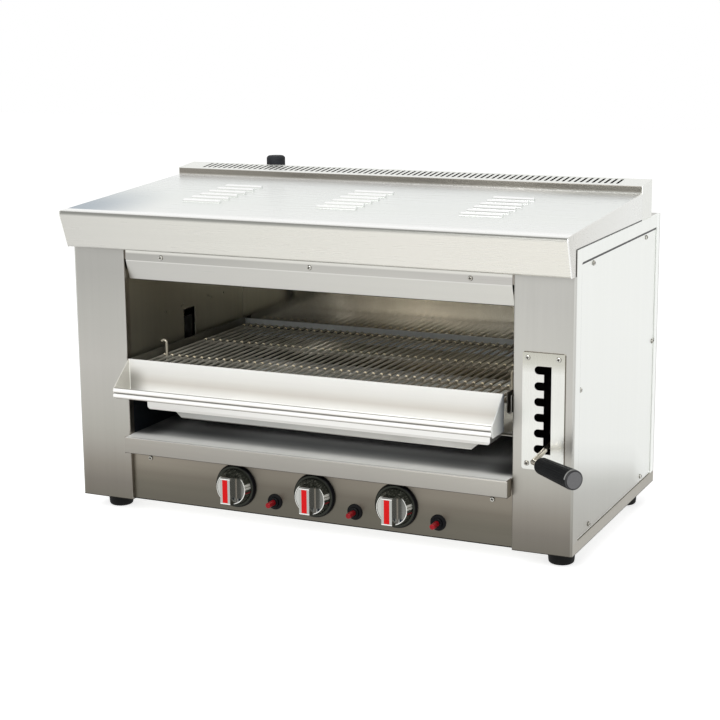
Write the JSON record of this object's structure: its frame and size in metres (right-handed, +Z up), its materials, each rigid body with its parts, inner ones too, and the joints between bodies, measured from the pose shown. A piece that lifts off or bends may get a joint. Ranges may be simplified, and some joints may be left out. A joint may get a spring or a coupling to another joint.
{
  "type": "cheese melter",
  "caption": "Gas cheese melter: stainless casing round an open cavity with infrared burners above a rack that a side lever raises and lowers through a notched gate.",
  "frame": {"origin": "on the floor, below the middle of the whole object's box", "axes": "+X to the right seen from the front, +Y from the front to the back, +Z up"},
  "size_m": [0.9484, 0.5992, 0.592],
  "materials": {
    "steel": "brushed stainless",
    "bright_steel": "bright satin stainless",
    "dark_steel": "smoked stainless",
    "fastener": "plated",
    "rubber": "matte",
    "ceramic": "porous ceramic",
    "screen": "heat-stained wire",
    "pipe": "black iron pipe",
    "brass": "machined",
    "black_plastic": "satin moulded",
    "grey_plastic": "textured",
    "chrome": "polished",
    "red_plastic": "glossy",
    "lift_steel": "zinc plated",
    "rod_steel": "polished rod",
    "wire": "heat-darkened wire"
  },
  "bodies": {
    "root": {"base_pan": "steel", "feet": "rubber", "foot_bolts": "fastener", "side_casing_left": "steel", "side_casing_right": "steel", "side_cover_left": "steel", "side_cover_right": "steel", "panel_screws": "fastener", "inner_wall_left": "dark_steel", "inner_wall_right": "dark_steel", "cavity_back_wall": "dark_steel", "cavity_floor": "dark_steel", "rear_panel": "steel", "top_cover": "steel", "flue_grille": "steel", "header_panel": "steel", "control_panel": "steel", "gate_plate": "bright_steel", "burner_housings": "dark_steel", "burner_plaques": "ceramic", "burner_screens": "screen", "burner_supports": "dark_steel", "pilot_burners": "screen", "gas_inlet_pipe": "pipe", "gas_manifold": "pipe", "valve_bodies": "brass", "feed_pipes": "brass", "knob_collars": "black_plastic", "igniter_bodies": "black_plastic", "shaft_bearings": "brass", "link_brackets": "lift_steel"},
    "lift_frame": {"lift_shaft": "lift_steel", "lift_arms": "lift_steel", "lever_bar": "lift_steel", "lever_pin": "lift_steel"},
    "rack": {"couplers": "lift_steel", "rack_rail_left": "dark_steel", "rack_rail_right": "dark_steel", "rack_cross_bar": "dark_steel"},
    "links": {"upper_links": "lift_steel"},
    "lever": {"lever_rod": "rod_steel", "lever_grip": "black_plastic", "grip_cap": "grey_plastic"},
    "grid": {"grid_trough": "bright_steel", "wire_grid": "wire", "grid_hooks": "wire"},
    "pan": {"drip_pan": "steel"},
    "tray": {"crumb_tray": "steel"},
    "inlet_cap": {"gas_inlet_cap": "black_plastic"},
    "plug_1": {"valve_plug_1": "brass"},
    "control_knob_1": {"knob_1": "chrome"},
    "button_1": {"igniter_button_1": "red_plastic"},
    "plug_2": {"valve_plug_2": "brass"},
    "control_knob_2": {"knob_2": "chrome"},
    "button_2": {"igniter_button_2": "red_plastic"},
    "plug_3": {"valve_plug_3": "brass"},
    "control_knob_3": {"knob_3": "chrome"},
    "button_3": {"igniter_button_3": "red_plastic"}
  },
  "joints": [
    {"name": "lift", "type": "hinge", "parent": "root", "child": "lift_frame", "pos_m": [-0.02377, 0.26824, 0.26475], "axis": [-1, 0, 0], "range_deg": [0, 16.14]},
    {"name": "rack_level", "type": "hinge", "parent": "lift_frame", "child": "rack", "pos_m": [-0.02377, 0.04325, 0.2629], "axis": [-1, 0, 0], "range_deg": [-16.14, 0]},
    {"name": "link_swing", "type": "hinge", "parent": "root", "child": "links", "pos_m": [-0.02377, 0.26824, 0.30975], "axis": [-1, 0, 0], "range_deg": [0, 16.14]},
    {"name": "lever_swing", "type": "hinge", "parent": "lift_frame", "child": "lever", "pos_m": [0.38173, 0.02071, 0.22965], "axis": [0, 0.1404, -0.9901], "range_deg": [0, 4.11]},
    {"name": "grid_slide", "type": "slide", "parent": "rack", "child": "grid", "axis": [0, -1, 0], "range_m": [0, 0.24]},
    {"name": "pan_slide", "type": "slide", "parent": "rack", "child": "pan", "axis": [0, -1, 0], "range_m": [0, 0.24]},
    {"name": "tray_slide", "type": "slide", "parent": "root", "child": "tray", "axis": [0, -1, 0], "range_m": [0, 0.28]},
    {"name": "cap_pull", "type": "slide", "parent": "root", "child": "inlet_cap", "axis": [0, 0, 1], "range_m": [0, 0.04]},
    {"name": "valve_turn_1", "type": "hinge", "parent": "root", "child": "plug_1", "pos_m": [-0.17027, -0.16376, 0.078], "axis": [0, -1, 0], "range_deg": [0, 180]},
    {"name": "knob_push_1", "type": "slide", "parent": "plug_1", "child": "control_knob_1", "axis": [0, 1, 0], "range_m": [0, 0.004], "stiffness_N_per_m": 800, "springref_m": -0.003},
    {"name": "igniter_push_1", "type": "slide", "parent": "root", "child": "button_1", "axis": [0, 1, 0], "range_m": [0, 0.005], "stiffness_N_per_m": 400, "springref_m": -0.004},
    {"name": "valve_turn_2", "type": "hinge", "parent": "root", "child": "plug_2", "pos_m": [-0.02227, -0.16376, 0.078], "axis": [0, -1, 0], "range_deg": [0, 180]},
    {"name": "knob_push_2", "type": "slide", "parent": "plug_2", "child": "control_knob_2", "axis": [0, 1, 0], "range_m": [0, 0.004], "stiffness_N_per_m": 800, "springref_m": -0.003},
    {"name": "igniter_push_2", "type": "slide", "parent": "root", "child": "button_2", "axis": [0, 1, 0], "range_m": [0, 0.005], "stiffness_N_per_m": 400, "springref_m": -0.004},
    {"name": "valve_turn_3", "type": "hinge", "parent": "root", "child": "plug_3", "pos_m": [0.12573, -0.16376, 0.078], "axis": [0, -1, 0], "range_deg": [0, 180]},
    {"name": "knob_push_3", "type": "slide", "parent": "plug_3", "child": "control_knob_3", "axis": [0, 1, 0], "range_m": [0, 0.004], "stiffness_N_per_m": 800, "springref_m": -0.003},
    {"name": "igniter_push_3", "type": "slide", "parent": "root", "child": "button_3", "axis": [0, 1, 0], "range_m": [0, 0.005], "stiffness_N_per_m": 400, "springref_m": -0.004}
  ],
  "couplings": [
    {"joint": "rack_level", "follows": "lift", "ratio": -1},
    {"joint": "link_swing", "follows": "lift", "ratio": 1}
  ]
}
